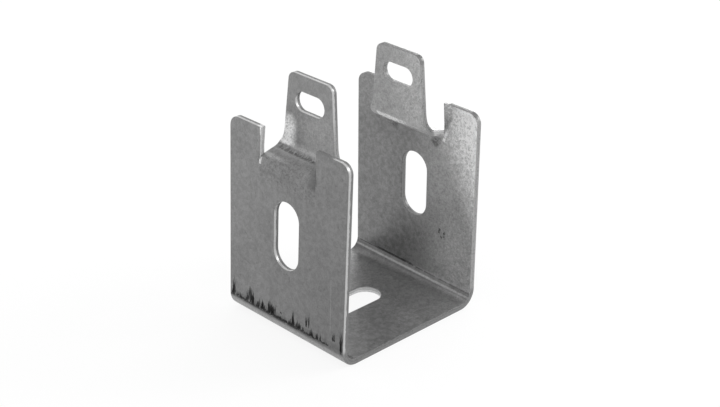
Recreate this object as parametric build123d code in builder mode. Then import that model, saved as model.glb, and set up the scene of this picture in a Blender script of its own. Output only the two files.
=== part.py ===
from build123d import *
from math import cos, radians, sin, tan
import os

# Ceiling hanger clip: one strip of galvanised sheet, folded into a U, with a joggled tab on each wall.
# The frame has +X across the two walls, +Y along the folds and +Z up. The origin is at the middle of
# the underside of the base. Lengths are in millimetres and angles in degrees. Heights on a wall are
# measured up the wall itself, from the level of the underside of the base.

# Sheet and channel
sheet = 1.5                  # thickness of the sheet
channel_width = 46.0         # outside to outside, where the wall faces would meet the underside
channel_depth = 40.0         # length of the folds
fold_radius = 3.0            # inside radius of the two base folds
wall_lean = 1.2              # how far each wall closes past square

# Horns, the two plain corners at the top of each wall
horn_height = 52.0
horn_corner_radius = 2.7
notch_depth = 8.0            # from the top of the horns down to the root of the tab
notch_mouth = 18.3           # gap between the horns at their top
notch_root = 19.4            # the same gap at the root of the tab

# Tab, the middle of each wall, set inward above the root of the notch
tab_height = 65.0
tab_inset = 6.6              # outer face of the wall to outer face of the tab
tab_top_width = 14.2
tab_taper = 4.9              # each side, from upright
tab_corner_radius = 2.0
tab_foot_width = 18.9        # between the sides of the tab's foot, at its top
tab_foot_height = 3.0        # how far the foot climbs from the root of the notch
tab_flare_height = 6.5       # how far the concave flare above the foot climbs

# Joggle, the double bend under the tab
ramp_angle = 67.5            # slope of the ramp, from upright, at the middle of the tab
knee_drop = 2.4              # how far the lower bend starts below the root of the notch
knee_radius = 1.8            # inside radius of the lower bend at the middle
knee_edge_radius = 0.3       # inside radius of the lower bend at the tab's edges
knee_edge_rise = 0.65        # where wall and ramp would meet there, above the root of the notch
knee_half_width = 5.5        # the lower bend keeps its full size this far from the middle
neck_radius = 2.6            # inside radius of the upper bend, which is on the outer face

# Slots
wall_slot_width = 8.5
wall_slot_length = 17.5
wall_slot_height = 27.3      # height of its centre
tab_slot_width = 4.9
tab_slot_length = 9.7
tab_slot_drop = 6.4          # from the top of the tab down to its centre
base_slot_width = 7.6
base_slot_length = 17.0

# Worked-out places
lean = radians(wall_lean)
ramp = radians(ramp_angle)
fold_outer_radius = fold_radius + sheet
foot = -channel_width / 2
root_height = horn_height - notch_depth
knee_start = root_height - knee_drop
knee_outer_radius = knee_radius + sheet
knee_edge_outer_radius = knee_edge_radius + sheet
knee_height = knee_start + knee_outer_radius * tan(ramp / 2)
knee_edge_height = root_height + knee_edge_rise
neck_height = knee_height + tab_inset / tan(ramp)
strip_foot = knee_start - sheet
tab_slot_height = tab_height - tab_slot_drop


def up_the_wall(height):
    """Point on the outer face of the left wall, in the XZ plane."""
    return foot + height * sin(lean), height * cos(lean)


def cross_plane(y):
    """Plane across the folds at y. Its x runs inward from the outer face, its y up the left wall."""
    return Plane(origin=(foot, y, 0), x_dir=(cos(lean), 0, -sin(lean)), z_dir=(0, -1, 0))


def tab_half_width(height):
    """Half the width between the tab's tapered sides."""
    return tab_top_width / 2 + (tab_height - height) * tan(radians(tab_taper))


# Outer face of the left wall, seen from outside: x runs along the folds, y up the wall
wall_face = Plane(origin=(foot, 0, 0), x_dir=(0, -1, 0), z_dir=(-cos(lean), 0, sin(lean)))
through_the_wall = Axis((foot, 0, 0), (cos(lean), 0, -sin(lean)))

# Left tab: the sheet's section through the joggle, lofted along the folds. The lower bend is large at
# the middle and tightens towards the notch, where the wall below holds the sheet flat.
knee_sections = [
    (-notch_root / 2, knee_edge_height, knee_edge_outer_radius),
    (-knee_half_width, knee_height, knee_outer_radius),
    (knee_half_width, knee_height, knee_outer_radius),
    (notch_root / 2, knee_edge_height, knee_edge_outer_radius),
]

with BuildPart() as left_tab:
    for section_y, corner_height, corner_radius in knee_sections:
        with BuildSketch(cross_plane(section_y)):
            with BuildLine():
                FilletPolyline(
                    (0, strip_foot),
                    (0, corner_height),
                    (tab_inset, neck_height),
                    (tab_inset, tab_height),
                    radius=[corner_radius, neck_radius],
                )
                offset(amount=sheet, side=Side.RIGHT)
            make_face()
    loft(ruled=True)

    # Outline of the tab: a foot as wide as the notch, tapered sides that flare to it, two round corners
    flare_top = root_height + tab_flare_height
    with BuildSketch(wall_face) as tab_blank:
        with BuildLine():
            below = (notch_root / 2 + sheet, strip_foot - sheet)
            beside = (notch_root / 2 + sheet, root_height)
            root = (notch_root / 2, root_height)
            foot_top = (tab_foot_width / 2, root_height + tab_foot_height)
            taper_foot = (tab_half_width(flare_top), flare_top)
            taper_top = (tab_half_width(tab_height), tab_height)
            Polyline(below, beside, root, foot_top)
            side = Line(taper_foot, taper_top)
            TangentArc(taper_foot, foot_top, tangent=-(side % 0))
            mirror(about=Plane.YZ)
            Line(taper_top, (-taper_top[0], taper_top[1]))
            Line(below, (-below[0], below[1]))
        make_face()
        fillet(tab_blank.vertices().group_by(Axis.Y)[-1], radius=tab_corner_radius)
    extrude(amount=-(tab_inset + 2 * sheet), mode=Mode.INTERSECT)

    with BuildSketch(wall_face):
        with Locations((0, tab_slot_height)):
            SlotOverall(tab_slot_length, tab_slot_width)
    extrude(amount=-(tab_inset + 2 * sheet), mode=Mode.SUBTRACT)


# Left half of the folded channel, then its tab, and the whole mirrored across the middle of the base
with BuildPart() as hanger_clip:
    with BuildSketch(Plane.XZ):
        with BuildLine():
            FilletPolyline((0, 0), (foot, 0), up_the_wall(horn_height), radius=fold_outer_radius)
            offset(amount=sheet, side=Side.RIGHT)
        make_face()
    extrude(amount=channel_depth / 2, both=True)
    horn_corners = hanger_clip.edges().filter_by(through_the_wall).sort_by(Axis.Z)[-2:]
    fillet(horn_corners, radius=horn_corner_radius)

    # The notch takes the wall away down to the foot of the tab's strip, which fills it again
    with BuildSketch(wall_face):
        with BuildLine():
            Polyline(
                (notch_mouth / 2, horn_height),
                (notch_root / 2, root_height),
                (notch_root / 2, strip_foot),
            )
            mirror(about=Plane.YZ)
            Line((notch_root / 2, strip_foot), (-notch_root / 2, strip_foot))
            Line((notch_mouth / 2, horn_height), (-notch_mouth / 2, horn_height))
        make_face()
        with Locations((0, wall_slot_height)):
            SlotOverall(wall_slot_length, wall_slot_width, rotation=90)
    extrude(amount=-2 * sheet, mode=Mode.SUBTRACT)

    add(left_tab.part)
    mirror(about=Plane.YZ)
    with BuildSketch(Plane.XY):
        SlotOverall(base_slot_length, base_slot_width)
    extrude(amount=sheet, mode=Mode.SUBTRACT)

hanger_clip.part.label = "hanger_clip"
os.makedirs("parts", exist_ok=True)
export_step(hanger_clip.part, "parts/hanger_clip.step")
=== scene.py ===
"""Ceiling hanger clip: the galvanised sheet's finish, its tool marks, the studio and the camera."""

import cmath
import logging
import math
from dataclasses import dataclass
from enum import Enum
from functools import reduce

import bmesh
import bpy
import numpy as np
from mathutils import Matrix, Vector
from mathutils.bvhtree import BVHTree


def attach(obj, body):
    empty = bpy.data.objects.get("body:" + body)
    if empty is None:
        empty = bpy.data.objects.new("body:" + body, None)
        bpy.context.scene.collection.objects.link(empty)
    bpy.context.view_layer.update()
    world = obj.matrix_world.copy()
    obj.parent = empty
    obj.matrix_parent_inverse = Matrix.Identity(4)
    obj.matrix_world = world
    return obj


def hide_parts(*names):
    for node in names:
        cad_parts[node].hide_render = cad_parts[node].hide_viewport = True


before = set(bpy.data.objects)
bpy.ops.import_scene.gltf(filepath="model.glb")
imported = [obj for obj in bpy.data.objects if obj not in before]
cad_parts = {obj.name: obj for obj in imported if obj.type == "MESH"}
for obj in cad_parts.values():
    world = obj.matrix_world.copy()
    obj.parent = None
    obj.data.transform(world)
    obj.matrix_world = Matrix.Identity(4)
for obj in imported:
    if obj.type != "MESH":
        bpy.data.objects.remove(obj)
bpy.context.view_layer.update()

log = logging.getLogger("hanger_clip")

MM = 0.001
IMAGE_WIDTH = 720
SENSOR_WIDTH = 36.0
CLIP_NODE = "hanger_clip"
CLIP_BODY = "root"
SHEET_SLOT = "galvanised_sheet"
# Mesh attribute of a point: place along the folds, developed length and share through the sheet
STRIP = "strip"
MID_SHEET = 0.5

Socket = bpy.types.NodeSocket
Number = float | Socket


class Side(Enum):
    """The two walls, by the sign of X and of the developed length."""

    LEFT = -1
    RIGHT = 1


class Skin(Enum):
    """The two faces of the sheet, by their share through its thickness."""

    OUTER = 0.0
    INNER = 1.0


@dataclass(frozen=True)
class StripSizes:
    """Sizes of the folded strip in millimetres and degrees, the same as the solid's."""

    sheet: float = 1.5
    channel_width: float = 46.0
    fold_radius: float = 3.0
    wall_lean: float = 1.2
    notch_root_height: float = 44.0
    notch_half: float = 9.65
    flare_width: float = 0.55
    flare_height: float = 2.5
    bend_steps: int = 12
    tab_height: float = 65.0
    tab_inset: float = 6.6
    knee_drop: float = 2.4
    knee_radius: float = 1.8
    ramp_angle: float = 67.5
    neck_radius: float = 2.6

    @property
    def fold_outer_radius(self) -> float:
        """Radius of a base fold on the outside."""
        return self.fold_radius + self.sheet

    @property
    def wall_turn(self) -> complex:
        """Turn of the right wall from upright, as a complex number x + z j of size 1."""
        return cmath.rect(1.0, math.radians(self.wall_lean))

    def corners(self) -> list[tuple[complex, float]]:
        """Corners of the right wall's outer face from the middle of the base to the top of the tab.

        Returns:
            One (x + z j, fillet radius) for each corner, with radius 0 at both ends.
        """
        ramp = math.radians(self.ramp_angle)
        knee_outer = self.knee_radius + self.sheet
        knee = self.notch_root_height - self.knee_drop + knee_outer * math.tan(ramp / 2)
        neck = knee + self.tab_inset / math.tan(ramp)
        foot = complex(self.channel_width / 2)
        return [
            (0j, 0.0),
            (foot, self.fold_outer_radius),
            (foot + complex(0, knee) * self.wall_turn, knee_outer),
            (foot + complex(-self.tab_inset, neck) * self.wall_turn, self.neck_radius),
            (foot + complex(-self.tab_inset, self.tab_height) * self.wall_turn, 0.0),
        ]

    def profile(self) -> np.ndarray:
        """Outline of the right wall's outer face, with its bends as arcs.

        Returns:
            An array of (x, z) points in millimetres, from the middle of the base up.
        """
        corners = self.corners()
        points = [corners[0][0]]
        for (before, _), (corner, radius), (after, _) in zip(corners, corners[1:], corners[2:]):
            back, ahead = ((other - corner) / abs(other - corner) for other in (before, after))
            half_angle = abs(cmath.phase(ahead / back)) / 2
            centre = corner + (back + ahead) / abs(back + ahead) * radius / math.sin(half_angle)
            start, end = (corner + way * radius / math.tan(half_angle) - centre for way in (back, ahead))
            points += [centre + start * (end / start) ** share for share in np.linspace(0, 1, self.bend_steps)]
        points.append(corners[-1][0])
        return np.array([(point.real, point.imag) for point in points])


class DevelopedStrip:
    """Lengths along the unfolded strip, and places on the folded one."""

    def __init__(self, sizes: StripSizes) -> None:
        """Measures the profile once.

        Args:
            sizes: Sizes of the folded strip.
        """
        self.sizes = sizes
        self.points = sizes.profile()
        self.steps = np.diff(self.points, axis=0)
        self.lengths = np.hypot(*self.steps.T)
        self.starts = np.concatenate([[0.0], np.cumsum(self.lengths)])
        first = [1 + sizes.bend_steps * bend for bend in range(3)]
        last = [start + sizes.bend_steps - 1 for start in first]
        self.fold_start, self.knee_start, self.neck_start = (float(self.starts[i]) for i in first)
        self.fold_end, self.knee_end, self.neck_end = (float(self.starts[i]) for i in last)

    def up_wall(self, height: float) -> float:
        """Developed length of a height on the flat part of a wall."""
        return self.fold_end + height - self.sizes.fold_outer_radius

    def length_at(self, x: float, z: float) -> float:
        """Developed length of the profile's point nearest to a place.

        Args:
            x: Place across the walls in millimetres, either side.
            z: Height in millimetres.

        Returns:
            Millimetres from the middle of the base, negative on the left.
        """
        offset = np.array([abs(x), z]) - self.points[:-1]
        share = np.clip((offset * self.steps).sum(1) / self.lengths**2, 0, 1)
        gap = offset - self.steps * share[:, None]
        nearest = int(np.argmin((gap**2).sum(1)))
        length = self.starts[nearest] + share[nearest] * self.lengths[nearest]
        return math.copysign(float(length), x)

    def place(self, along: float, length: float, side: Side) -> Vector:
        """Point on the outer face of the profile.

        Args:
            along: Place along the folds in millimetres.
            length: Developed length in millimetres, without its sign.
            side: The wall.

        Returns:
            The point in metres.
        """
        x = float(np.interp(length, self.starts, self.points[:, 0]))
        z = float(np.interp(length, self.starts, self.points[:, 1]))
        return Vector((side.value * x, along, z)) * MM


class Graph:
    """Short calls that add and join the nodes of one tree."""

    def __init__(self, tree: bpy.types.NodeTree) -> None:
        """Empties the tree."""
        self.tree = tree
        tree.nodes.clear()

    def node(self, kind: str, inputs: dict[str | int, object] | None = None, **settings: object) -> bpy.types.Node:
        """Adds a node.

        Args:
            kind: Its type.
            inputs: What its inputs get, by their name or number.
            settings: Its properties.

        Returns:
            The node.
        """
        made = self.tree.nodes.new(kind)
        for name, value in settings.items():
            setattr(made, name, value)
        for key, value in (inputs or {}).items():
            self.feed(made.inputs[key], value)
        return made

    def feed(self, socket: Socket, value: object) -> None:
        """Joins an input to an output, or sets its value."""
        if isinstance(value, Socket):
            self.tree.links.new(value, socket)
        else:
            socket.default_value = value

    def calc(self, operation: str, *values: Number) -> Socket:
        """One step of arithmetic, by the name of the Math node's operation."""
        return self.node("ShaderNodeMath", dict(enumerate(values)), operation=operation).outputs[0]

    def rise(self, value: Number, start: float, end: float, low: float = 0.0, high: float = 1.0) -> Socket:
        """Smooth step of a value between two others.

        Args:
            value: What is measured.
            start: Where the step begins.
            end: Where it ends.
            low: Result before the step.
            high: Result after it.

        Returns:
            The result.
        """
        given = {"Value": value, "From Min": start, "From Max": end, "To Min": low, "To Max": high}
        return self.node("ShaderNodeMapRange", given, interpolation_type="SMOOTHSTEP").outputs["Result"]

    def fall(self, value: Number, start: float, end: float) -> Socket:
        """Smooth step from 1 down to 0."""
        return self.rise(value, start, end, low=1.0, high=0.0)

    def band(self, value: Number, middle: float, half: float, soft: float) -> Socket:
        """1 within half of the middle, fading to 0 over soft."""
        distance = self.calc("ABSOLUTE", self.calc("SUBTRACT", value, middle))
        return self.fall(distance, half, half + soft)

    def product(self, *values: Number) -> Socket:
        """Product of any number of values."""
        return reduce(lambda first, second: self.calc("MULTIPLY", first, second), values)

    def largest(self, *values: Number) -> Socket:
        """Largest of any number of values."""
        return reduce(lambda first, second: self.calc("MAXIMUM", first, second), values)

    def inverse(self, value: Number) -> Socket:
        """1 minus a value."""
        return self.calc("SUBTRACT", 1.0, value)

    def mix(self, share: Number, first: Number, second: Number) -> Socket:
        """Number between two others."""
        given = {0: share, 2: first, 3: second}
        return self.node("ShaderNodeMix", given, data_type="FLOAT", clamp_factor=True).outputs[0]

    def stretch(self, place: Socket, scale: tuple[float, float, float]) -> Socket:
        """Scales a place along each axis."""
        return self.node("ShaderNodeMapping", {"Vector": place, "Scale": scale}).outputs["Vector"]

    def separate(self, vector: Socket) -> tuple[Socket, ...]:
        """The three numbers of a vector."""
        return tuple(self.node("ShaderNodeSeparateXYZ", {0: vector}).outputs)

    def combine(self, x: Number, y: Number, z: Number = 0.0) -> Socket:
        """Vector of three numbers."""
        return self.node("ShaderNodeCombineXYZ", {0: x, 1: y, 2: z}).outputs[0]

    def noise(self, place: Socket, size: float, detail: float = 2.0, rough: float = 0.5, warp: float = 0.0) -> Socket:
        """Smooth noise from 0 to 1.

        Args:
            place: Where it is read, in millimetres.
            size: Size of its lumps in millimetres.
            detail: How many finer layers it has.
            rough: How strong the finer layers are.
            warp: How far it is pulled out of shape.

        Returns:
            The noise.
        """
        given = {"Vector": place, "Scale": 1.0 / size, "Detail": detail, "Roughness": rough, "Distortion": warp}
        return self.node("ShaderNodeTexNoise", given, noise_dimensions="3D", normalize=True).outputs["Fac"]

    def seen_directly(self) -> Socket:
        """1 for what the camera sees, also in metal or through glass, and 0 for the light itself."""
        path = self.node("ShaderNodeLightPath").outputs
        seen = self.calc("MAXIMUM", path["Is Camera Ray"], path["Is Glossy Ray"])
        return self.calc("MAXIMUM", seen, path["Is Transmission Ray"])

    def grey(self, tone: Number) -> Socket:
        """Neutral colour of a tone."""
        return self.node("ShaderNodeCombineColor", {0: tone, 1: tone, 2: tone}).outputs["Color"]


def new_material(name: str) -> bpy.types.Material:
    """New material with a node tree."""
    material = bpy.data.materials.new(name)
    material.use_nodes = True
    return material


def add_object(name: str, data: bpy.types.ID) -> bpy.types.Object:
    """New object of a mesh, lamp or camera, linked to the scene."""
    made = bpy.data.objects.new(name, data)
    bpy.context.scene.collection.objects.link(made)
    return made


def direction(azimuth: float, elevation: float) -> Vector:
    """Unit vector from the clip, by degrees round it from -Y towards +X and degrees up."""
    turn, climb = math.radians(azimuth), math.radians(elevation)
    return Vector((math.sin(turn) * math.cos(climb), -math.cos(turn) * math.cos(climb), math.sin(climb)))


@dataclass(frozen=True)
class Streak:
    """A short straight mark on a wall. Lengths are in millimetres.

    Attributes:
        start: Place along the folds and height up the wall of one end.
        end: The same of the other end.
        half: Half its width.
        depth: How strong it is, from 0 to 1.
        soft: How far it takes to fade.
    """

    start: tuple[float, float]
    end: tuple[float, float]
    half: float
    depth: float
    soft: float = 0.15


@dataclass(frozen=True)
class ZincFinish:
    """Hot-dip galvanised sheet: dull mottled zinc, matt white painted highlights, dark rubs and painted shade, and bare
    sheared edges, some with painted light.
    """

    name: str = SHEET_SLOT
    tone: float = 0.205
    roughness: float = 0.36
    metallic: float = 0.7
    # Matt white material of the painted highlights and painted light
    sheen_tone: float = 0.915
    sheen_roughness: float = 0.6
    sheen_metallic: float = 0.15
    rub_and_shade_depth: float = 0.85
    burnish_tone: float = 0.48
    fracture_tone: float = 0.2
    # Edges brightened as painted light, at the notches, the tabs' feet and the base slot
    bright_burnish_tone: float = 0.75
    bright_fracture_tone: float = 0.6
    dull_edge_tone: float = 0.16
    # Lighter tone of the end edges and the tabs' sides, painted light from the front
    front_lit_edge_tone: float = 0.27
    base_edge_tone: float = 0.165
    burnish_roughness: float = 0.3
    fracture_roughness: float = 0.6
    burnish_share: float = 0.45
    lip_depth: float = 0.35
    rim_shade_depth: float = 0.4
    tab_half: float = 9.35
    cloud_size: float = 9.0
    spangle_size: float = 1.3
    grain_size: float = 0.35
    relief: float = 0.03
    # Single marks: the scrape and the dark spots are inside the right wall, the others outside the left one; the first
    # two dark spots are painted shadow under the tab's ramp
    white_scrape: Streak = Streak((-10.47, 44.6), (-9.54, 41.7), 0.32, 0.9, 0.25)
    white_root: Streak = Streak((9.3, 43.0), (9.4, 44.0), 0.18, 0.6, 0.25)
    hairline: Streak = Streak((-15.4, 22.0), (-15.6, 7.9), 0.04, 0.07)
    scratch: Streak = Streak((14.9, 15.9), (12.7, 15.1), 0.05, 0.3)
    shadows_and_dark_spots: tuple[Streak, ...] = (
        Streak((-6.6, 41.8), (-7.8, 40.8), 1.0, 0.78, 1.0),
        Streak((7.4, 41.5), (6.3, 41.1), 0.5, 0.6, 0.5),
        Streak((-17.0, 16.5), (-17.1, 16.1), 0.2, 0.35, 0.2),
        Streak((-8.2, 6.4), (-9.7, 6.2), 0.08, 0.4, 0.08),
        Streak((-11.5, 12.8), (-11.6, 12.6), 0.12, 0.3, 0.12),
        Streak((18.0, 33.1), (18.0, 32.9), 0.12, 0.35, 0.12),
        Streak((-9.2, 17.7), (-8.9, 16.5), 0.21, 1.0, 0.21),
        Streak((-10.9, 17.1), (-10.6, 16.6), 0.21, 1.0, 0.21),
        Streak((-10.7, 16.1), (-10.5, 15.7), 0.18, 0.95, 0.18),
        Streak((-9.5, 15.6), (-9.9, 15.4), 0.2, 0.95, 0.2),
    )

    def make(self, strip: DevelopedStrip) -> bpy.types.Material:
        """Builds the material.

        Args:
            strip: Lengths along the unfolded sheet.

        Returns:
            The material, which reads the strip attribute and object coordinates.
        """
        material = new_material(self.name)
        nodes = ZincNodes(self, strip, material.node_tree)
        cut, sheen_and_bloom = nodes.cut(), nodes.sheen_and_bloom()
        # Painted shade darkens the zinc's colour besides the real rubs, and painted highlights lighten it
        unrubbed_unshaded = nodes.inverse(nodes.product(nodes.rub_and_shade(), self.rub_and_shade_depth))
        zinc = nodes.product(nodes.mix(sheen_and_bloom, nodes.zinc_tone(), self.sheen_tone), unrubbed_unshaded)
        edge_tone, edge_roughness, edge_sheen = nodes.edge()
        tone = nodes.product(nodes.mix(cut, zinc, edge_tone), nodes.inverse(nodes.rim_shade()))
        matt = nodes.mix(sheen_and_bloom, nodes.zinc_roughness(), self.sheen_roughness)
        share = nodes.mix(cut, sheen_and_bloom, edge_sheen)
        shader = nodes.node("ShaderNodeBsdfPrincipled", {
            "Base Color": nodes.grey(tone), "Roughness": nodes.mix(cut, matt, edge_roughness),
            "Metallic": nodes.mix(share, self.metallic, self.sheen_metallic), "Normal": nodes.relief(),
        })
        nodes.node("ShaderNodeOutputMaterial", {"Surface": shader.outputs[0]})
        return material


class ZincNodes(Graph):
    """Nodes of the zinc finish, by where a point lies on the sheet. Lengths are in millimetres.

    Attributes:
        place: Object coordinates.
        along: Place along the folds.
        reach: Developed length, without its sign.
        through: Share through the sheet, 0 outside and 1 inside.
        right, left, inner, outer: 1 on that wall or skin, 0 elsewhere.
        middle: 1 over the width of the tabs.
        on_tab: 1 on the tabs, from the neck up.
        broken, gaps: Factors that break a rub into specks, and a line into dashes.
    """

    def __init__(self, finish: ZincFinish, strip: DevelopedStrip, tree: bpy.types.NodeTree) -> None:
        """Reads the strip attribute and object coordinates.

        Args:
            finish: Tones, sizes and marks.
            strip: Lengths along the unfolded sheet.
            tree: Where the nodes go.
        """
        super().__init__(tree)
        self.finish = finish
        self.strip = strip
        self.place = self.stretch(self.node("ShaderNodeTexCoord").outputs["Object"], (1 / MM,) * 3)
        attribute = self.node("ShaderNodeAttribute", attribute_type="GEOMETRY", attribute_name=STRIP)
        self.along, length, self.through = self.separate(attribute.outputs["Vector"])
        self.reach = self.calc("ABSOLUTE", length)
        self.right = self.calc("GREATER_THAN", length, 0.0)
        self.left = self.inverse(self.right)
        self.inner = self.calc("GREATER_THAN", self.through, MID_SHEET)
        self.outer = self.inverse(self.inner)
        self.middle = self.band(self.along, 0.0, finish.tab_half, soft=0.2)
        self.on_tab = self.product(self._reach(strip.neck_start - 2, strip.neck_start), self.middle)
        self.broken = self.rise(self.noise(self.place, 0.7, 3, 0.65, 0.5), 0.35, 0.6, low=0.25)
        self.gaps = self.rise(self.noise(self.stretch(self.place, (0.3, 1.0, 0.3)), 1.6, 2, 0.6), 0.33, 0.5)

    def _along(self, start: float, end: float, low: float = 0.0, high: float = 1.0) -> Socket:
        """Smooth step between two places along the folds."""
        return self.rise(self.along, start, end, low, high)

    def _reach(self, start: float, end: float, low: float = 0.0, high: float = 1.0) -> Socket:
        """Smooth step between two developed lengths."""
        return self.rise(self.reach, start, end, low, high)

    def _climb(self, start: float, end: float, low: float = 0.0, high: float = 1.0) -> Socket:
        """Smooth step between two heights up the flat of a wall."""
        return self._reach(self.strip.up_wall(start), self.strip.up_wall(end), low, high)

    def _near(self, middle: float, half: float, soft: float) -> Socket:
        """1 within half of a developed length, fading to 0 over soft."""
        return self.band(self.reach, middle, half, soft)

    def _tilted(self, slope: float) -> Socket:
        """Developed length that grows with a slope along the folds."""
        return self.calc("MULTIPLY_ADD", self.along, slope, self.reach)

    def _uneven(self, noise: Socket, outer: float, inner: float) -> Socket:
        """Factor that strays from 1 with the noise, by one share on each skin."""
        depth = self.mix(self.inner, outer, inner)
        return self.calc("MULTIPLY_ADD", self.rise(noise, 0.3, 0.7, low=-1.0, high=1.0), depth, 1.0)

    def _streak(self, mark: Streak) -> Socket:
        """Draws a short straight mark.

        Args:
            mark: The mark.

        Returns:
            Its depth on the mark, fading to 0 around it.
        """
        length = math.dist(mark.start, mark.end)
        run, climb = ((end - start) / length for start, end in zip(mark.start, mark.end))
        y = self.calc("SUBTRACT", self.along, mark.start[0])
        s = self.calc("SUBTRACT", self.reach, self.strip.up_wall(mark.start[1]))
        onward = self.calc("MULTIPLY_ADD", y, run, self.product(s, climb))
        aside = self.calc("MULTIPLY_ADD", y, climb, self.product(s, -run))
        lengthwise = self.band(onward, length / 2, length / 2, mark.soft)
        return self.product(self.band(aside, 0.0, mark.half, mark.soft), lengthwise, mark.depth)

    def cut(self) -> Socket:
        """1 on the sheared edges and 0 on both skins."""
        return self.product(self.rise(self.through, 0.01, 0.05), self.fall(self.through, 0.95, 0.99))

    def rim_shade(self) -> Socket:
        """Painted shade on the rim of the base's sheared edges, just under the inner skin, that dims their highlight.
        """
        on_base = self.fall(self.reach, self.strip.fold_start - 1, self.strip.fold_start + 3)
        return self.product(self.band(self.through, 0.92, 0.045, 0.02), on_base, self.finish.rim_shade_depth)

    def zinc_tone(self) -> Socket:
        """Mottled tone of the zinc, stronger on the inner skin, with small dark pits and painted light and shade across
        the outside of the left wall.

        Returns:
            The tone.
        """
        finish = self.finish
        cloud = self.rise(self.noise(self.place, finish.cloud_size, 2, 0.5), 0.25, 0.75, low=0.95, high=1.05)
        mottle = self._uneven(self.noise(self.place, finish.spangle_size, 3, 0.6, 0.4), outer=0.12, inner=0.2)
        speckle = self._uneven(self.noise(self.place, finish.grain_size, 2, 0.6), outer=0.085, inner=0.1)
        pits = self.rise(self.noise(self.place, 0.8, 1, 0.5, 0.6), 0.66, 0.74, low=1.0, high=0.8)
        # Painted light and shade outside the left wall: lighter up and to the far side
        slope = self.calc("ADD", self.along, self.calc("SUBTRACT", self.reach, 46.0))
        below_tab = self.inverse(self.product(self._reach(66.0, 70.0), self.middle))
        lighter = self.calc("MULTIPLY_ADD", slope, 0.0045, 1.0)
        light_and_shade_drift = self.mix(self.product(self.left, self.outer, below_tab), 1.0, lighter)
        return self.product(cloud, mottle, speckle, pits, light_and_shade_drift, finish.tone)

    def zinc_roughness(self) -> Socket:
        """Roughness of the zinc, patchy at the size of its spangle."""
        patches = self.noise(self.place, 2 * self.finish.spangle_size, 2, 0.5)
        return self.rise(patches, 0.3, 0.7, self.finish.roughness - 0.05, self.finish.roughness + 0.05)

    def sheen_and_bloom(self) -> Socket:
        """Matt white painted highlights and painted light on the zinc, with a few light marks, broken into patches.

        Returns:
            Its share, from 0 to 1.
        """
        area = self.largest(self._sheen_inside(), self._sheen_outside(), self._sheen_on_base(), self._sheen_below())
        broken = self.rise(self.noise(self.place, 0.75, 3, 0.7, 0.8), 0.32, 0.68, low=0.6, high=1.32)
        fine = self.rise(self.noise(self.place, 0.35, 2, 0.6), 0.3, 0.7, low=0.82, high=1.18)
        return self.calc("MINIMUM", self.product(area, broken, fine), 1.0)

    def _sheen_inside(self) -> Socket:
        """Painted highlights inside the right wall: strong over the near top corner, thinner elsewhere, on the tab,
        under the tab's bend and as a line in the fold, with a light scrape.

        Returns:
            The share of painted highlight.
        """
        strip = self.strip
        # Painted light: a bright patch over the near top corner and along the near edge
        above = self.calc("SUBTRACT", self.reach, strip.up_wall(30))
        near_corner = self.calc("MULTIPLY_ADD", above, 0.5, self.product(self.along, -1.0))
        near_edge = self.product(self.fall(self.along, -14.0, 4.0), self._reach(26.0, 48.0, low=0.36, high=0.27))
        far_top = self.product(self._along(8.0, 16.0), self._climb(38, 48), 0.09)
        far_low = self.product(self._along(4.0, 12.0), self._climb(34, 40, low=0.022, high=0.0))
        wall = self.product(
            self.largest(self.rise(near_corner, 4.8, 29.0), near_edge, far_top, far_low),
            self._reach(strip.fold_end - 1.9, strip.fold_end - 1.2), self.inverse(self.on_tab),
        )
        tab = self.product(self._along(-7.0, 5.0, low=0.42, high=0.2), self.on_tab)
        under_tab = self.product(
            self._near(strip.neck_start + 1.75, 0.25, 0.5), self._along(-6.0, 2.0, low=0.2),
            self.fall(self.along, 6.5, 8.0),
        )
        fold_light = self.product(
            self.band(self._tilted(-0.0203), strip.fold_end - 3.0, 0.12, 0.45),
            self._along(-14.0, 10.0, low=0.2, high=0.12),
        )
        scrape = self._streak(self.finish.white_scrape)
        return self.product(self.largest(wall, tab, under_tab, fold_light, scrape), self.right, self.inner)

    def _sheen_outside(self) -> Socket:
        """Outside of the left wall: painted highlights on the tab and its lower far corner, a painted highlight along
        the crest of the knee below it, a light line above the neck's dashes, and two fine marks.

        Returns:
            The share of painted highlight and light marks.
        """
        neck_start, neck_end = self.strip.neck_start, self.strip.neck_end
        far_low_corner = self.product(
            self._along(2.6, 7.0), self._reach(neck_start + 1.0, neck_start + 2.0),
            self.fall(self.reach, neck_end + 3.5, neck_end + 8.0), 0.95,
        )
        above_strokes = self.product(self._near(neck_start + 1.7, 0.25, 0.5), 0.2)
        crest = self.product(self._near(self.strip.knee_end, 0.2, 0.9), self._along(1.0, 8.0), 0.2)
        face = self.product(self.on_tab, self._reach(neck_end + 4, neck_end + 12, low=0.13, high=0.07))
        on_middle = self.product(self.largest(far_low_corner, face, above_strokes, crest), self.middle)
        marks = (self._streak(self.finish.hairline), self._streak(self.finish.white_root))
        return self.product(self.largest(on_middle, *marks), self.left, self.outer)

    def _sheen_on_base(self) -> Socket:
        """Painted light on the inside of the base, stronger towards the right wall.

        Returns:
            The share of painted light.
        """
        return self.product(
            self.fall(self.reach, self.strip.fold_start + 2.6, self.strip.fold_start + 3.2),
            self._along(-18.0, 6.0, low=0.066, high=0.05),
            self.mix(self.right, 0.3, self._reach(0.0, 5.0, low=0.3, high=1.2)),
            self._reach(8.0, 16.0, low=0.95, high=1.4), self.inner,
        )

    def _sheen_below(self) -> Socket:
        """Painted highlight on the outside of both base folds, below the strokes."""
        onward = self._reach(self.strip.fold_start, self.strip.fold_start + 2.5)
        return self.product(onward, self._climb(3.0, 3.9, low=1.0, high=0.0), self.outer, 0.17)

    def rub_and_shade(self) -> Socket:
        """Share of dark rubbing by the press tools and of painted shade, from 0 to 1."""
        return self.largest(self._rub_and_shade_outside(), self._rub_and_shade_inside())

    def _rub_and_shade_outside(self) -> Socket:
        """Outside of both walls: along their feet, over the knees, below the necks, one scratch, and painted shade on
        the knee beside the near horn.

        Returns:
            The share of rubbing and painted shade.
        """
        strip = self.strip
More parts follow.
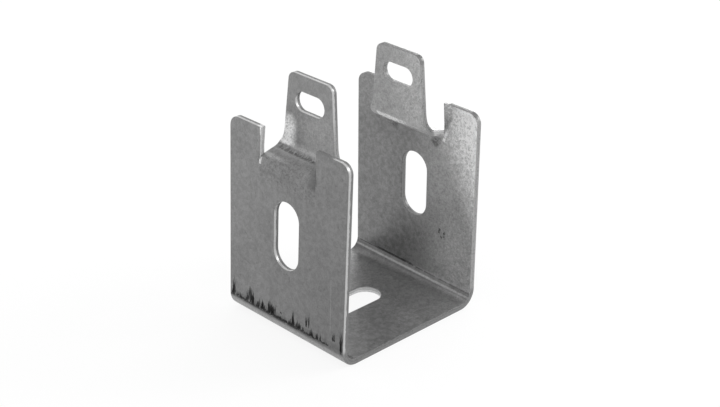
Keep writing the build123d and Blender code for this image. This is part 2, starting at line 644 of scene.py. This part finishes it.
        # The right wall has the left one's marks, turned round
        turned = self.calc("MULTIPLY", self.along, self.calc("SUBTRACT", self.left, self.right))
        low = self.rise(turned, -17.0, -4.0, low=0.2, high=0.85)
        foot = self.product(self._near(strip.up_wall(4.15), 0.13, 0.16), self.gaps, low)
        low_haze = self.rise(turned, -17.0, -4.0, low=0.2, high=0.4)
        haze = self.product(self._near(strip.up_wall(4.8), 0.6, 0.8), self.broken, low_haze)
        knee = self.product(self._near(strip.knee_start - 0.2, 0.15, 0.6), self._along(-3.0, 2.0), self.broken, 0.3)
        # Painted shade on the knee beside the near horn's edge
        shade_beside_horn = self.product(self.fall(self.along, -9.2, -4.8), self._near(strip.knee_end + 0.2, 2.6, 1.6), 0.52)
        neck = self.product(self._near(strip.neck_start + 0.3, 0.5, 0.6), self.broken, 0.36)
        flecks = self.rise(self.noise(self.place, 0.6, 2, 0.6, 0.8), 0.5, 0.62)
        rough_knee = self.product(self._near(strip.knee_start + 1.5, 3.0, 2.5), flecks, 0.3)
        on_middle = self.product(self.largest(knee, shade_beside_horn, neck, rough_knee), self.middle)
        scratch = self.product(self._streak(self.finish.scratch), self.left)
        return self.product(self.largest(foot, haze, on_middle, scratch), self.outer)

    def _rub_and_shade_inside(self) -> Socket:
        """Inside of the right wall: a dark line in the fold, painted shade on both sides of the painted highlight line
        in the fold, a clean-edged painted shadow by the notch, small dark spots and painted shadow under the tab's
        ramp.

        Returns:
            The share of rubbing and painted shade.
        """
        fold_start, fold_end = self.strip.fold_start, self.strip.fold_end
        tilt = self._tilted(-0.027)
        thin_line = self.product(
            self.band(tilt, fold_end - 1.3, 0.12, 0.14), self._along(-20.0, 0.0, low=0.2, high=0.85), self.gaps
        )
        ragged = self.noise(self.place, 0.7, 3, 0.7)
        wavy = self.calc("MULTIPLY_ADD", ragged, 0.9, tilt)
        thick_line = self.product(
            self.band(wavy, fold_end - 0.57, 0.34, 0.14), self.band(self.along, 6.3, 5.5, 2.5),
            self.rise(ragged, 0.36, 0.46, low=0.45, high=0.88),
        )
        # Painted shade on both sides of the painted highlight line in the fold
        below_light = self.product(
            self._reach(fold_start - 0.5, fold_start + 2.6), self.fall(tilt, fold_end - 3.7, fold_end - 3.35),
            self._along(-20.0, -6.0, low=0.12, high=0.5),
        )
        above_light = self.product(self.band(tilt, fold_end - 2.1, 0.4, 0.35), self._along(-14.0, 4.0, high=0.3))
        # Painted shadow of the near horn, by the notch
        edge_height = self.calc("SUBTRACT", self.reach, self.strip.up_wall(49.84))
        beyond_edge = self.calc("MULTIPLY_ADD", edge_height, 0.51, self.along)
        shade = self.product(
            self.rise(beyond_edge, -13.04, -12.6), self._climb(44.8, 46), self._climb(47.5, 51, low=1.0, high=0.25),
            self.fall(self.along, -9.0, -8.6), 0.38,
        )
        spots = [self.product(self._streak(spot), self.broken) for spot in self.finish.shadows_and_dark_spots]
        area = self.largest(thin_line, thick_line, below_light, above_light, shade, *spots)
        return self.product(area, self.right, self.inner)

    def edge(self) -> tuple[Socket, Socket, Socket]:
        """Sheared edge: burnished from the outer face, then torn.

        Returns:
            Its tone, its roughness and its share of the less metallic finish.
        """
        finish = self.finish
        wander = self.rise(self.noise(self.place, 1.2, 2, 0.6), 0.2, 0.8, low=-0.08, high=0.08)
        boundary = self.calc("ADD", self.through, wander)
        torn = self.rise(boundary, finish.burnish_share, finish.burnish_share + 0.1)
        lip = self.band(boundary, finish.burnish_share + 0.05, 0.02, 0.05)
        streaks = self.rise(self.noise(self.place, 0.25, 2, 0.6), 0.2, 0.8, low=0.85, high=1.15)
        bright, dull, dull_tone = self._edge_kinds()
        burnished = self.mix(bright, self.mix(dull, finish.burnish_tone, dull_tone), finish.bright_burnish_tone)
        fracture = self.mix(bright, self.mix(dull, finish.fracture_tone, dull_tone), finish.bright_fracture_tone)
        lip_shade = self.inverse(self.product(lip, finish.lip_depth))
        tone = self.product(self.mix(torn, burnished, fracture), streaks, lip_shade)
        roughness = self.mix(torn, finish.burnish_roughness, finish.fracture_roughness)
        return tone, roughness, self.largest(bright, dull)

    def _edge_kinds(self) -> tuple[Socket, Socket, Socket]:
        """Tells edges apart: bright at the notches, tabs' feet and base slot, and lighter at the ends and tabs' sides,
        as painted light; dull low down and on the right.

        Returns:
            1 on the bright edges, 1 on the dull ones, and the tone of the dull ones.
        """
        strip, finish = self.strip, self.finish
        across = self.calc("ABSOLUTE", self.separate(self.place)[0])
        notch = self.product(self.band(self.along, 0.0, 10.3, 0.4), self._reach(strip.knee_start - 1, strip.knee_start))
        tab = self.product(self.fall(across, 16.0, 17.5), self._reach(strip.neck_start - 2.5, strip.neck_start - 1))
        slot = self.product(self.band(self.along, 0.0, 4.4, 0.2), self.fall(self.reach, 9.5, 10.5))
        near_top = self.product(self.left, self.band(self.along, -11.5, 3.0, 1.0), self._climb(50.3, 50.8))
        bright = self.largest(self.product(notch, self.inverse(tab)), slot)
        bright = self.product(bright, self.inverse(near_top))
        below = self.fall(self.reach, strip.fold_end - 1, strip.fold_end + 1)
        dull = self.product(self.largest(self.right, below, near_top), self.inverse(bright))
        end_edge = self.rise(self.calc("ABSOLUTE", self.along), 19.2, 19.6)
        tab_side = self.product(tab, self.fall(self.reach, strip.neck_end + 14.0, strip.neck_end + 15.5))
        specks = self.rise(self.noise(self.place, 0.5, 2, 0.6), 0.36, 0.44, low=0.6)
        front_lit_tone = self.mix(below, finish.front_lit_edge_tone, finish.base_edge_tone)
        dull_tone = self.mix(self.largest(end_edge, tab_side), finish.dull_edge_tone, front_lit_tone)
        return bright, dull, self.product(dull_tone, specks)

    def relief(self) -> Socket:
        """Low relief of the spangle and the grain.

        Returns:
            The normal.
        """
        spangle = self.noise(self.place, self.finish.spangle_size, 3, 0.6, 0.4)
        grain = self.noise(self.place, self.finish.grain_size, 1, 0.5)
        height = self.calc("MULTIPLY_ADD", grain, 0.2, spangle)
        given = {"Height": height, "Strength": 1.0, "Distance": self.finish.relief * MM}
        return self.node("ShaderNodeBump", given).outputs["Normal"]


@dataclass(frozen=True)
class ClipSheet:
    """The folded sheet: the solid's own surface, with its sheared edges rounded over.

    Lengths are in millimetres and angles in degrees. Points nearer than weld are merged, faces within
    flat_angle are joined, and edges sharper than rim_angle are sheared ones.
    """

    node: bpy.types.Object
    strip: DevelopedStrip
    edge_round: float = 0.12
    edge_steps: int = 3
    weld: float = 0.002
    flat_angle: float = 0.1
    rim_angle: float = 45.0
    margin: float = 0.1

    def build(self, material: bpy.types.Material) -> bpy.types.Object:
        """Makes the sheet.

        Args:
            material: Its finish.

        Returns:
            The object that stands for the solid.
        """
        shell = bmesh.new()
        shell.from_mesh(self.node.data)
        bmesh.ops.remove_doubles(shell, verts=shell.verts, dist=self.weld * MM)
        bmesh.ops.dissolve_limit(
            shell, angle_limit=math.radians(self.flat_angle), verts=shell.verts, edges=shell.edges
        )
        self._measure(shell)
        rims = [edge for edge in shell.edges if edge.is_manifold and self._is_rim(edge)]
        bmesh.ops.bevel(
            shell, geom=rims, offset=self.edge_round * MM, offset_type="OFFSET", segments=self.edge_steps,
            profile=0.5, affect="EDGES", clamp_overlap=False, material=-1,
        )
        mesh = bpy.data.meshes.new("clip_sheet")
        shell.to_mesh(mesh)
        shell.free()
        mesh.materials.append(material)
        for polygon in mesh.polygons:
            polygon.use_smooth = True
            polygon.material_index = 0
        sheet = add_object("clip_sheet", mesh)
        weighted = sheet.modifiers.new("flat_faces_stay_flat", "WEIGHTED_NORMAL")
        weighted.mode = "FACE_AREA_WITH_ANGLE"
        log.info("sheet: %d faces, %d rims", len(mesh.polygons), len(rims))
        return sheet

    def _is_rim(self, edge: bmesh.types.BMEdge) -> bool:
        """Whether an edge between two faces is a sheared one."""
        return edge.calc_face_angle() > math.radians(self.rim_angle)

    def _measure(self, shell: bmesh.types.BMesh) -> None:
        """Writes each point's place along the folds, developed length and share through the sheet.

        Args:
            shell: The sheet.
        """
        layer = shell.verts.layers.float_vector.new(STRIP)
        depth = self._depths(shell)
        for vert in shell.verts:
            x, y, z = vert.co / MM
            vert[layer] = Vector((y, self._length(x, y, z), depth[vert.index]))

    def _length(self, x: float, y: float, z: float) -> float:
        """Measures a point: the horns go straight up, all else follows the bent strip.

        Args:
            x: Place across the walls in millimetres.
            y: Place along the folds in millimetres.
            z: Height in millimetres.

        Returns:
            Its developed length in millimetres, negative on the left.
        """
        sizes = self.strip.sizes
        upright = complex(abs(x) - sizes.channel_width / 2, z) / sizes.wall_turn
        height, inset = upright.imag, -upright.real
        above_root = height - sizes.notch_root_height
        above_flare = abs(y) > sizes.notch_half - sizes.flare_width and above_root > sizes.flare_height
        beside = abs(y) > sizes.notch_half or above_flare
        if beside and above_root > -sizes.knee_drop and inset < sizes.sheet + self.margin:
            return math.copysign(self.strip.up_wall(height), x)
        return self.strip.length_at(x, z)

    def _depths(self, shell: bmesh.types.BMesh) -> dict[int, float]:
        """Finds which skin each point is on, by spreading over smooth edges from the base.

        Args:
            shell: The sheet.

        Returns:
            0 for the outer skin and 1 for the inner one, by the point's index.
        """
        shell.verts.index_update()
        shell.faces.ensure_lookup_table()
        depth: dict[int, float] = {}
        level = 0.99
        below = max((f for f in shell.faces if f.normal.z < -level), key=lambda f: f.calc_area())
        above = max((f for f in shell.faces if f.normal.z > level), key=lambda f: f.calc_area())
        for seed, skin in ((below, Skin.OUTER), (above, Skin.INNER)):
            seen, front = {seed}, [seed]
            while front:
                face = front.pop()
                for vert in face.verts:
                    depth[vert.index] = skin.value
                for edge in face.edges:
                    if not edge.is_manifold or self._is_rim(edge):
                        continue
                    for other in edge.link_faces:
                        if other not in seen:
                            seen.add(other)
                            front.append(other)
            log.info("%s skin: %d faces", skin.name, len(seen))
        log.info("points on no skin: %d of %d", len(shell.verts) - len(depth), len(shell.verts))
        return {v.index: depth.get(v.index, MID_SHEET) for v in shell.verts}


@dataclass(frozen=True)
class Scuff:
    """A cluster of strokes that run up the strip. Lengths are in millimetres.

    Attributes:
        along: Middle of the cluster along the folds.
        foot: Developed length where the strokes begin.
        reach: Length of the longest stroke.
        spread: Half the cluster's width along the folds.
        strokes: How many there are.
    """

    along: float
    foot: float
    reach: float
    spread: float
    strokes: int


@dataclass(frozen=True)
class StrokeField:
    """Thin dark tool strokes, made by Geometry Nodes on the unfolded strip and laid on the folded sheet.

    Attributes:
        width: Mean width of a stroke in millimetres.
        lift, depth: How far it stands proud and how far it goes into the sheet, in millimetres.
        rows: Points along each side of a stroke.
        late_start: Largest share of its cluster's reach by which a stroke starts late.
        shortest: Shortest stroke, as a share of the longest.
        side_loss: Share by which the strokes at a cluster's sides are shorter.
        lean: Largest lean of a stroke in radians.
        sway: How far a stroke's sides wander, as a share of its width.
    """

    name: str
    side: Side
    scuffs: tuple[Scuff, ...]
    width: float
    tone: float
    seed: int
    roughness: float = 0.55
    metallic: float = 0.4
    lift: float = 0.006
    depth: float = 0.02
    rows: int = 8
    late_start: float = 0.35
    shortest: float = 0.3
    side_loss: float = 0.6
    lean: float = 0.1
    sway: float = 1.6

    def build(self, strip: DevelopedStrip, skin: BVHTree) -> bpy.types.Object:
        """Makes the strokes as one object of closed slivers.

        Args:
            strip: Lengths along the unfolded sheet.
            skin: Search tree of the solid's surface.

        Returns:
            The object.
        """
        finish = self._finish()
        flat = self._bake(finish)
        tops, bottoms, normals = [], [], []
        for vert in flat.vertices:
            found, normal, _, _ = skin.find_nearest(strip.place(vert.co.x, vert.co.y, self.side))
            tops.append(found + normal * self.lift * MM)
            bottoms.append(found - normal * self.depth * MM)
            normals.append(normal)
        faces = []
        for polygon in flat.polygons:
            corners = list(polygon.vertices)
            a, b, c = (tops[i] for i in corners[:3])
            if (b - a).cross(c - b).dot(normals[corners[0]]) < 0:
                corners.reverse()
            faces.append(tuple(corners))
        bpy.data.meshes.remove(flat)
        mesh = bpy.data.meshes.new(self.name)
        mesh.from_pydata(tops + bottoms, [], self._closed(faces, len(tops)))
        mesh.materials.append(finish)
        log.info("%s: %d faces", self.name, len(mesh.polygons))
        return add_object(self.name, mesh)

    @staticmethod
    def _closed(faces: list[tuple[int, ...]], count: int) -> list[tuple[int, ...]]:
        """Adds side and bottom faces to top faces.

        Args:
            faces: The top faces.
            count: How many points the top has; the bottom's points follow them.

        Returns:
            All faces.
        """
        edges = [edge for face in faces for edge in zip(face, face[1:] + face[:1])]
        used: dict[frozenset[int], int] = {}
        for edge in edges:
            used[frozenset(edge)] = used.get(frozenset(edge), 0) + 1
        sides = [(b, a, a + count, b + count) for a, b in edges if used[frozenset((a, b))] == 1]
        return faces + sides + [tuple(i + count for i in reversed(face)) for face in faces]

    def _finish(self) -> bpy.types.Material:
        """Makes the dull dark metal of the strokes.

        Returns:
            The material.
        """
        material = new_material(self.name)
        graph = Graph(material.node_tree)
        shader = graph.node("ShaderNodeBsdfPrincipled", {
            "Base Color": (self.tone,) * 3 + (1,), "Roughness": self.roughness, "Metallic": self.metallic,
        })
        graph.node("ShaderNodeOutputMaterial", {"Surface": shader.outputs[0]})
        return material

    def _bake(self, finish: bpy.types.Material) -> bpy.types.Mesh:
        """Evaluates the node tree on one point for each cluster.

        Args:
            finish: Metal of the strokes.

        Returns:
            A flat mesh in millimetres: X along the folds, Y the developed length.
        """
        mesh = bpy.data.meshes.new(self.name + "_clusters")
        mesh.from_pydata([(s.along, s.foot, 0.0) for s in self.scuffs], [], [])
        for name, kind in (("reach", "FLOAT"), ("spread", "FLOAT"), ("strokes", "INT")):
            layer = mesh.attributes.new(name, kind, "POINT")
            for item, scuff in zip(layer.data, self.scuffs):
                item.value = getattr(scuff, name)
        holder = add_object(self.name + "_clusters", mesh)
        modifier = holder.modifiers.new("strokes", "NODES")
        tree = self._tree()
        values = {"Stroke Width": self.width, "Seed": self.seed, "Finish": finish}
        modifier.node_group = tree
        for item in tree.interface.items_tree:
            if item.item_type == "SOCKET" and item.name in values:
                modifier[item.identifier] = values[item.name]
        holder.update_tag()
        graph = bpy.context.evaluated_depsgraph_get()
        baked = bpy.data.meshes.new_from_object(holder.evaluated_get(graph))
        bpy.data.objects.remove(holder)
        return baked

    def _tree(self) -> bpy.types.NodeTree:
        """Builds the node tree: spread points, tapered blades on them, ragged edges.

        Returns:
            The tree.
        """
        tree = bpy.data.node_groups.new("tool_strokes", "GeometryNodeTree")
        kinds = {"Geometry": "Geometry", "Stroke Width": "Float", "Seed": "Int", "Finish": "Material"}
        for name, kind in kinds.items():
            tree.interface.new_socket(name, in_out="INPUT", socket_type="NodeSocket" + kind)
        tree.interface.new_socket("Geometry", in_out="OUTPUT", socket_type="NodeSocketGeometry")
        graph = Graph(tree)
        given = graph.node("NodeGroupInput").outputs

        def chance(low: float, high: float, step: int) -> Socket:
            """Random number for each point, with a step added to the seed."""
            numbers = {2: low, 3: high, "Seed": graph.calc("ADD", given["Seed"], float(step))}
            made = graph.node("FunctionNodeRandomValue", numbers, data_type="FLOAT")
            return next(o for o in made.outputs if o.type == "VALUE")

        def stored(name: str, kind: str = "FLOAT") -> Socket:
            """Value kept on each cluster's point."""
            made = graph.node("GeometryNodeInputNamedAttribute", {"Name": name}, data_type=kind)
            return next(o for o in made.outputs if o.name == "Attribute" and o.enabled)

        def moved(geometry: Socket, **change: Socket) -> Socket:
            """Geometry with a new Position or an Offset."""
            return graph.node("GeometryNodeSetPosition", {"Geometry": geometry, **change}).outputs["Geometry"]

        amount = {"Geometry": given["Geometry"], "Amount": stored("strokes", "INT")}
        copies = graph.node("GeometryNodeDuplicateElements", amount, domain="POINT")
        across = chance(-1.0, 1.0, 1)
        away = graph.product(across, across)
        late = graph.product(chance(0.0, self.late_start, 2), stored("reach"), chance(0.0, 1.0, 3))
        spread = graph.combine(graph.product(across, stored("spread")), late)
        points = moved(copies.outputs["Geometry"], Offset=spread)

        grid = {"Size X": 1.0, "Size Y": 1.0, "Vertices X": 2, "Vertices Y": self.rows}
        blade = graph.node("GeometryNodeMeshGrid", grid).outputs["Mesh"]
        sideways, upward, _ = graph.separate(graph.node("GeometryNodeInputPosition").outputs[0])
        # A stroke widens over the first fifth of its length, then narrows to a blunt point
        up = graph.calc("ADD", upward, 0.5)
        body = graph.calc("POWER", graph.calc("MAXIMUM", graph.inverse(up), 0.0), 0.8)
        taper = graph.calc("ADD", graph.product(body, graph.rise(up, 0.0, 0.2, low=0.4)), 0.04)
        shaped = moved(blade, Position=graph.combine(graph.product(sideways, taper), up))

        lean = graph.combine(0.0, 0.0, chance(-self.lean, self.lean, 4))
        shorter = graph.calc("MULTIPLY_ADD", away, -self.side_loss, 1.0)
        tall = graph.product(stored("reach"), chance(self.shortest, 1.0, 5), shorter)
        wide = graph.product(given["Stroke Width"], chance(0.5, 1.5, 6))
        size = graph.combine(wide, tall, 1.0)
        placed = graph.node(
            "GeometryNodeInstanceOnPoints", {"Points": points, "Instance": shaped, "Rotation": lean, "Scale": size}
        )

        real = graph.node("GeometryNodeRealizeInstances", {"Geometry": placed.outputs["Instances"]})
        where = graph.node("GeometryNodeInputPosition").outputs[0]
        noise = graph.node("ShaderNodeTexNoise", {"Vector": where, "Scale": 2.2})
        wander = graph.calc("SUBTRACT", noise.outputs[0], 0.5)
        sway = graph.product(wander, given["Stroke Width"], self.sway)
        ragged = moved(real.outputs["Geometry"], Offset=graph.combine(sway, 0.0))
        painted = graph.node("GeometryNodeSetMaterial", {"Geometry": ragged, "Material": given["Finish"]})
        graph.node("NodeGroupOutput", {0: painted.outputs["Geometry"]})
        return tree


@dataclass(frozen=True)
class ToolMarks:
    """Strokes of the press tools: spikes over both base folds and dashes along both necks, in millimetres."""

    spike_width: float = 0.3
    spike_tone: float = 0.02
    spike_seed: int = 11
    dash_width: float = 0.7
    dash_tone: float = 0.14
    dash_seed: int = 31
    dashes: int = 14
    dense_dashes: int = 4
    first_dash: float = 8.0
    dash_pitch: float = 0.85
    dash_drop: float = 0.3
    dash_reach: float = 1.7
    dash_spread: float = 0.2
    # Place along the folds, foot and reach up the wall, spread and number of strokes
    spikes: tuple[tuple[float, float, float, float, int], ...] = (
        (18.5, 4.8, 4.6, 0.5, 14), (18.9, 4.4, 1.6, 0.7, 12), (16.4, 4.4, 1.3, 1.4, 16), (12.6, 4.5, 4.6, 1.4, 24),
        (11.6, 4.7, 3.6, 0.5, 16), (8.6, 4.5, 2.4, 1.5, 24), (7.9, 4.5, 3.4, 0.4, 14), (5.2, 4.5, 3.6, 0.9, 26),
        (4.3, 4.5, 3.0, 0.6, 22), (3.6, 4.5, 3.8, 0.4, 8), (1.35, 5.9, 1.2, 0.15, 3), (1.4, 4.3, 1.1, 2.2, 36),
        (-2.0, 4.4, 1.8, 0.9, 16), (-2.95, 4.5, 4.4, 0.35, 14), (-4.8, 4.6, 2.1, 0.8, 24), (-6.4, 4.5, 1.6, 0.3, 6),
        (-7.5, 5.6, 5.4, 0.12, 5), (-8.3, 6.0, 4.6, 0.08, 4), (-9.3, 4.4, 2.3, 0.6, 18), (-11.3, 4.4, 1.9, 0.4, 10),
        (-12.4, 4.4, 2.0, 0.3, 8), (-14.4, 4.3, 0.8, 1.4, 14), (-16.9, 6.2, 3.2, 0.5, 9),
        (-19.3, 3.9, 7.3, 0.22, 14), (3.0, 4.2, 1.0, 16.5, 240),
    )

    def fields(self, strip: DevelopedStrip) -> list[StrokeField]:
        """Lays out the strokes; the right wall has the left one's, turned round.

        Args:
            strip: Lengths along the unfolded sheet.

        Returns:
            One field of strokes for each wall and kind.
        """
        fields = []
        for side in Side:
            turn = -side.value
            over_fold = tuple(
                Scuff(turn * along, strip.up_wall(foot), reach, spread, strokes)
                for along, foot, reach, spread, strokes in self.spikes
            )
            on_neck = tuple(
                Scuff(
                    turn * (self.first_dash - self.dash_pitch * step), strip.neck_start - self.dash_drop,
                    self.dash_reach, self.dash_spread, 3 if step < self.dense_dashes else 2,
                )
                for step in range(self.dashes)
            )
            label, turned = side.name.lower(), side.value
            fields += [
                StrokeField(
                    "bend_scuffs_" + label, side, over_fold, self.spike_width, self.spike_tone,
                    self.spike_seed + turned,
                ),
                StrokeField(
                    "neck_chatter_" + label, side, on_neck, self.dash_width, self.dash_tone, self.dash_seed + turned
                ),
            ]
        return fields


def skin_tree(node: bpy.types.Object) -> BVHTree:
    """Search tree of the solid's own surface, in metres."""
    mesh = node.data
    return BVHTree.FromPolygons([v.co.copy() for v in mesh.vertices], [tuple(p.vertices) for p in mesh.polygons])


@dataclass(frozen=True)
class PhotoCamera:
    """The camera, placed around a point above the base. Lengths are in millimetres, angles in degrees."""

    azimuth: float = -45.27
    elevation: float = 26.14
    roll: float = 1.28
    distance: float = 366.7
    focal_pixels: float = 1528.3
    slide_right: float = 1.136
    slide_up: float = -7.45
    target_height: float = 36.8
    nearest: float = 10.0

    def build(self) -> None:
        """Makes the camera and gives it to the scene."""
        roll = math.radians(self.roll)
        back = direction(self.azimuth, self.elevation)
        level = direction(self.azimuth + 90, 0.0)
        upright = back.cross(level)
        right = level * math.cos(roll) + upright * math.sin(roll)
        up = upright * math.cos(roll) - level * math.sin(roll)
        data = bpy.data.cameras.new("camera")
        data.sensor_width = SENSOR_WIDTH
        data.lens = self.focal_pixels / IMAGE_WIDTH * SENSOR_WIDTH
        data.clip_start = self.nearest * MM
        camera = add_object("camera", data)
        target = Vector((0, 0, self.target_height))
        place = target + right * self.slide_right + up * self.slide_up + back * self.distance
        turn = Matrix((right, up, back)).transposed().to_4x4()
        camera.matrix_world = Matrix.Translation(place * MM) @ turn
        bpy.context.scene.camera = camera


@dataclass(frozen=True)
class SoftBox:
    """One rectangular lamp, aimed at the middle of the clip. Lengths are in millimetres, angles in degrees."""

    name: str
    azimuth: float
    elevation: float
    distance: float
    width: float
    height: float
    radiance: float
    aim_height: float = 30.0

    def build(self) -> None:
        """Makes the lamp."""
        back = direction(self.azimuth, self.elevation)
        data = bpy.data.lights.new(self.name, "AREA")
        data.shape = "RECTANGLE"
        data.size = self.width * MM
        data.size_y = self.height * MM
        data.energy = self.radiance * math.pi * data.size * data.size_y
        lamp = add_object(self.name, data)
        lamp.rotation_euler = back.to_track_quat("Z", "Y").to_euler()
        lamp.location = (Vector((0, 0, self.aim_height)) + back * self.distance) * MM


@dataclass(frozen=True)
class Studio:
    """Pale floor, even white surroundings and the lamps. Lengths are in millimetres."""

    sky: float = 1.0
    floor_tone: float = 0.9
    floor_glow: float = 0.87
    floor_half: float = 3000.0
    floor_gap: float = 0.02
    lamps: tuple[SoftBox, ...] = (
        SoftBox("back_right_low", 120, 8, 1000, 400, 400, 7.0),
        SoftBox("front_right", 60, 25, 1000, 400, 400, 8.0),
    )

    def build(self) -> None:
        """Makes the floor, the world and the lamps."""
        self._floor()
        self._world()
        for lamp in self.lamps:
            lamp.build()
        bpy.context.scene.view_settings.view_transform = "Standard"

    def _floor(self) -> None:
        """Large pale floor, part white of its own to the camera so that its shadow stays soft."""
        half, drop = self.floor_half * MM, -self.floor_gap * MM
        corners = [(-half, -half, drop), (half, -half, drop), (half, half, drop), (-half, half, drop)]
        mesh = bpy.data.meshes.new("floor")
        mesh.from_pydata(corners, [], [(0, 1, 2, 3)])
        material = new_material("pale_floor")
        graph = Graph(material.node_tree)
        matt = graph.node("ShaderNodeBsdfDiffuse", {"Color": (self.floor_tone,) * 3 + (1,)})
        white = graph.node("ShaderNodeEmission", {"Strength": 1.0})
        share = graph.product(graph.seen_directly(), self.floor_glow)
        blend = graph.node("ShaderNodeMixShader", {0: share, 1: matt.outputs[0], 2: white.outputs[0]})
        graph.node("ShaderNodeOutputMaterial", {"Surface": blend.outputs[0]})
        mesh.materials.append(material)
        add_object("floor", mesh)

    def _world(self) -> None:
        """Even white sky."""
        world = bpy.data.worlds.new("studio")
        bpy.context.scene.world = world
        world.use_nodes = True
        graph = Graph(world.node_tree)
        sky = graph.node("ShaderNodeBackground", {"Color": (1, 1, 1, 1), "Strength": self.sky})
        graph.node("ShaderNodeOutputWorld", {"Surface": sky.outputs[0]})


def main() -> None:
    """Dresses the clip, then sets the studio and the camera."""
    logging.basicConfig(level=logging.INFO, format="%(name)s: %(message)s")
    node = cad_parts[CLIP_NODE]
    strip = DevelopedStrip(StripSizes())
    sheet = ClipSheet(node, strip).build(ZincFinish().make(strip))
    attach(sheet, CLIP_BODY)
    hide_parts(CLIP_NODE)
    skin = skin_tree(node)
    for field in ToolMarks().fields(strip):
        piece = field.build(strip, skin)
        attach(piece, CLIP_BODY)
    Studio().build()
    PhotoCamera().build()


if __name__ == "__main__":
    main()
